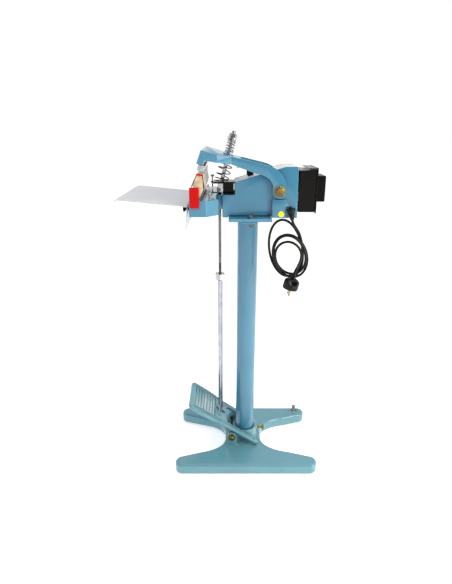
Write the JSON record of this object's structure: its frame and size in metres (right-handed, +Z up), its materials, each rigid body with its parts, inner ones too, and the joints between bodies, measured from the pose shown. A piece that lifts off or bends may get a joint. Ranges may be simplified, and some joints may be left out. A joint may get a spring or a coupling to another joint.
{
  "type": "impulse heat sealer",
  "caption": "Foot-operated impulse heat sealer on a pedestal: cast base, column, hinged jaw arm, treadle rod, pedal, tilted work table and mains lead.",
  "frame": {"origin": "on the floor, at the base casting's underside on the column's axis", "axes": "+Z up; -X towards the operator and the work table; Y along the sealing jaws"},
  "size_m": [0.5394, 0.326, 0.9714],
  "materials": {
    "painted_iron": "glossy light-blue enamel over cast iron",
    "painted_steel": "glossy light-blue enamel",
    "painted_alu": "glossy light-blue enamel over cast aluminium",
    "cover_grey": "satin pale grey paint",
    "black_paint": "semi-gloss black powder coat",
    "white_paint": "satin white paint",
    "black_plastic": "matte moulded",
    "rubber": "matte black PVC or rubber",
    "red_plastic": "gloss moulded",
    "lamp_red": "translucent lens",
    "chrome": "polished plating",
    "steel": "bright steel",
    "yellow_zinc": "yellow passivated zinc",
    "spring_steel": "dark oiled spring steel",
    "aluminium": "milled",
    "insulator": "cream to tan phenolic board",
    "ptfe": "PTFE-coated glass cloth",
    "silicone": "white silicone"
  },
  "bodies": {
    "frame": {"base_casting": "painted_iron", "collar_clamp_bolt": "yellow_zinc", "foot_stud": "chrome", "column_tube": "painted_steel", "column_flange": "painted_steel", "head_bracket": "painted_steel", "bracket_bolt_near": "steel", "bracket_bolt_far": "steel", "head_casting": "painted_alu", "head_cover": "cover_grey", "spring_bridge": "black_paint", "return_spring": "spring_steel", "jaw_beam": "painted_alu", "beam_bolt_near": "steel", "beam_bolt_far": "steel", "lower_jaw_bar": "insulator", "heating_element": "steel", "ptfe_cloth": "ptfe", "element_block_near": "red_plastic", "element_block_far": "red_plastic", "end_cap_near": "red_plastic", "end_cap_far": "red_plastic", "terminal_post_near": "chrome", "terminal_post_far": "chrome", "transformer": "steel", "control_box": "black_paint", "control_box_back": "black_paint", "timer_housing": "black_plastic", "timer_board": "insulator", "pilot_lamp": "lamp_red", "arm_pivot_bolt": "yellow_zinc", "arm_pivot_nut": "yellow_zinc", "pedal_pivot_bolt": "yellow_zinc", "microswitch_body": "black_plastic", "strain_relief": "rubber", "cord_coil": "rubber", "cord_tail": "rubber", "plug_body": "rubber"},
    "arm": {"arm_casting": "painted_alu", "upper_jaw_bar": "aluminium", "silicone_strip": "silicone", "jaw_screw_near": "spring_steel", "jaw_screw_far": "spring_steel", "pressure_spring": "chrome"},
    "pressure_bolt": {"pressure_bolt": "chrome", "clevis_pin": "steel", "spring_washer": "chrome"},
    "adjusting_nut": {"adjusting_nut": "chrome"},
    "treadle": {"treadle_rod": "steel", "rod_collar_nut": "chrome", "treadle_tube": "chrome"},
    "pedal": {"pedal": "painted_iron", "pedal_hook_pin": "steel"},
    "table": {"work_table": "white_paint"},
    "table_screw_near": {"table_screw_near": "black_plastic"},
    "table_screw_far": {"table_screw_far": "black_plastic"},
    "timer_knob": {"timer_knob": "black_plastic"},
    "power_switch": {"power_switch": "black_plastic"},
    "microswitch_lever": {"microswitch_lever": "chrome"}
  },
  "joints": [
    {"name": "arm_hinge", "type": "hinge", "parent": "frame", "child": "arm", "pos_m": [0.0775, 0, 0.8242], "axis": [0, -1, 0], "range_deg": [0, 1.8], "stiffness_Nm_per_rad": 60, "springref_deg": -6.88, "deforming": ["return_spring"]},
    {"name": "pressure_bolt_slide", "type": "slide", "parent": "arm", "child": "pressure_bolt", "axis": [-0.2504, 0, -0.9681], "range_m": [0, 0.005], "deforming": ["pressure_spring"]},
    {"name": "adjusting_nut_turn", "type": "hinge", "parent": "pressure_bolt", "child": "adjusting_nut", "pos_m": [-0.0431, 0, 0.95309], "axis": [0.2504, 0, 0.9681], "range_deg": [-180, 180]},
    {"name": "rod_hinge", "type": "hinge", "parent": "pressure_bolt", "child": "treadle", "pos_m": [-0.077, 0, 0.822], "axis": [0, -1, 0], "range_deg": [-2.5, 0.2]},
    {"name": "pedal_hinge", "type": "hinge", "parent": "frame", "child": "pedal", "pos_m": [-0.0415, 0, 0.066], "axis": [0, -1, 0], "range_deg": [0, 15]},
    {"name": "table_slide", "type": "slide", "parent": "frame", "child": "table", "axis": [0.0958, 0, 0.9954], "range_m": [0, 0.03]},
    {"name": "table_screw_near_turn", "type": "hinge", "parent": "frame", "child": "table_screw_near", "pos_m": [-0.1655, -0.12, 0.79], "axis": [1, 0, 0], "continuous": true},
    {"name": "table_screw_far_turn", "type": "hinge", "parent": "frame", "child": "table_screw_far", "pos_m": [-0.1655, 0.12, 0.79], "axis": [1, 0, 0], "continuous": true},
    {"name": "timer_knob_turn", "type": "hinge", "parent": "frame", "child": "timer_knob", "pos_m": [0.15, 0.052, 0.852], "axis": [0, 1, 0], "range_deg": [0, 300]},
    {"name": "power_switch_rock", "type": "hinge", "parent": "frame", "child": "power_switch", "pos_m": [0.15, 0.052, 0.796], "axis": [-1, 0, 0], "range_deg": [0, 14]},
    {"name": "microswitch_lever_hinge", "type": "hinge", "parent": "frame", "child": "microswitch_lever", "pos_m": [0.01, -0.013, 0.8749], "axis": [0, -1, 0], "range_deg": [0, 5.2], "stiffness_Nm_per_rad": 0.02}
  ],
  "couplings": [
    {"joint": "pressure_bolt_slide", "follows": "arm_hinge", "m_per_rad": 0.15884},
    {"joint": "rod_hinge", "follows": "arm_hinge", "ratio": -1.264},
    {"joint": "pedal_hinge", "follows": "arm_hinge", "ratio": 7.86},
    {"joint": "microswitch_lever_hinge", "follows": "arm_hinge", "ratio": 2.73}
  ]
}
